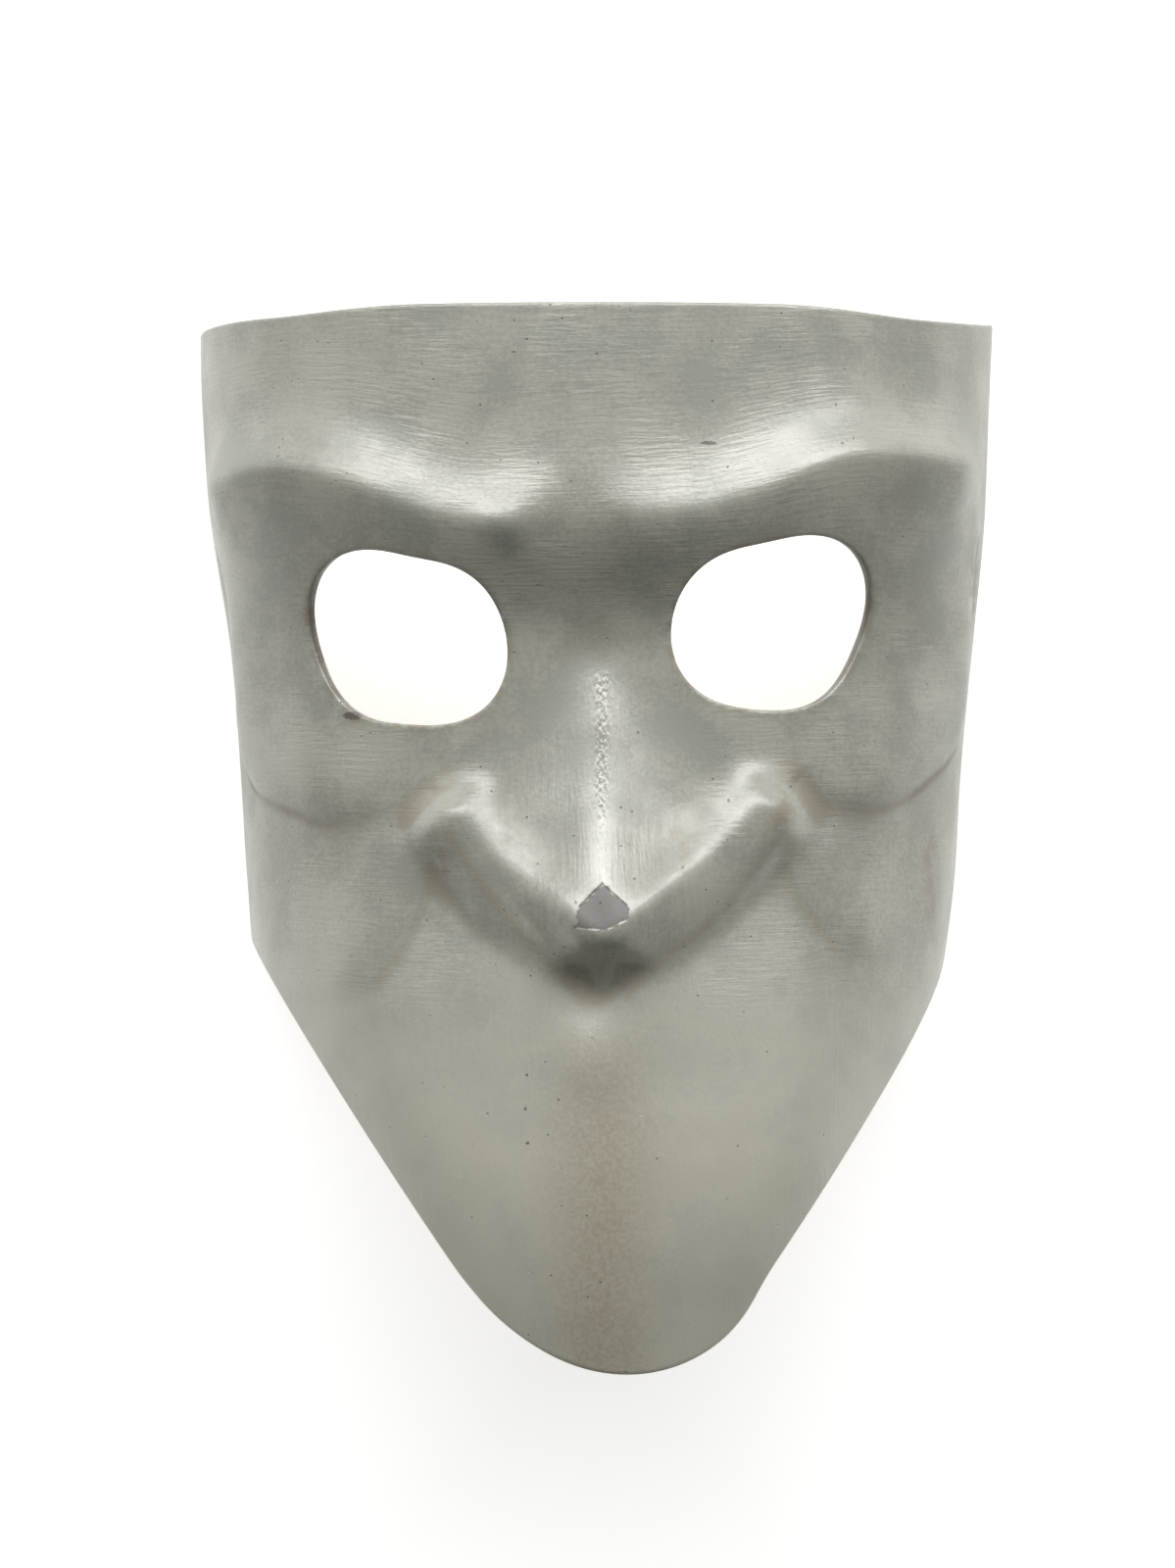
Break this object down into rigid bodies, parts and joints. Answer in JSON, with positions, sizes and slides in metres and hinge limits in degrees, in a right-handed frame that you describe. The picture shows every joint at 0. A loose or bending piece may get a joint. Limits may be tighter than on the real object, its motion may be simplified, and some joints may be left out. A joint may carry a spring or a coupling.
{
  "type": "bauta mask",
  "caption": "Full-face carnival mask, a thin papier-mâché shell with heavy brows, a winged nose, round eye holes and a jutting, mouthless lower face.",
  "frame": {"origin": "middle of the bounding box in X and Y, on the plane of the two side rims that the mask lies on", "axes": "+Z the way the mask faces, +Y towards the forehead, +X to the right of someone looking at the face"},
  "size_m": [0.1738, 0.2139, 0.097],
  "materials": {
    "shell": "papier-mâché painted off-white, satin varnish"
  },
  "bodies": {
    "root": {"mask_shell": "shell"}
  },
  "joints": []
}
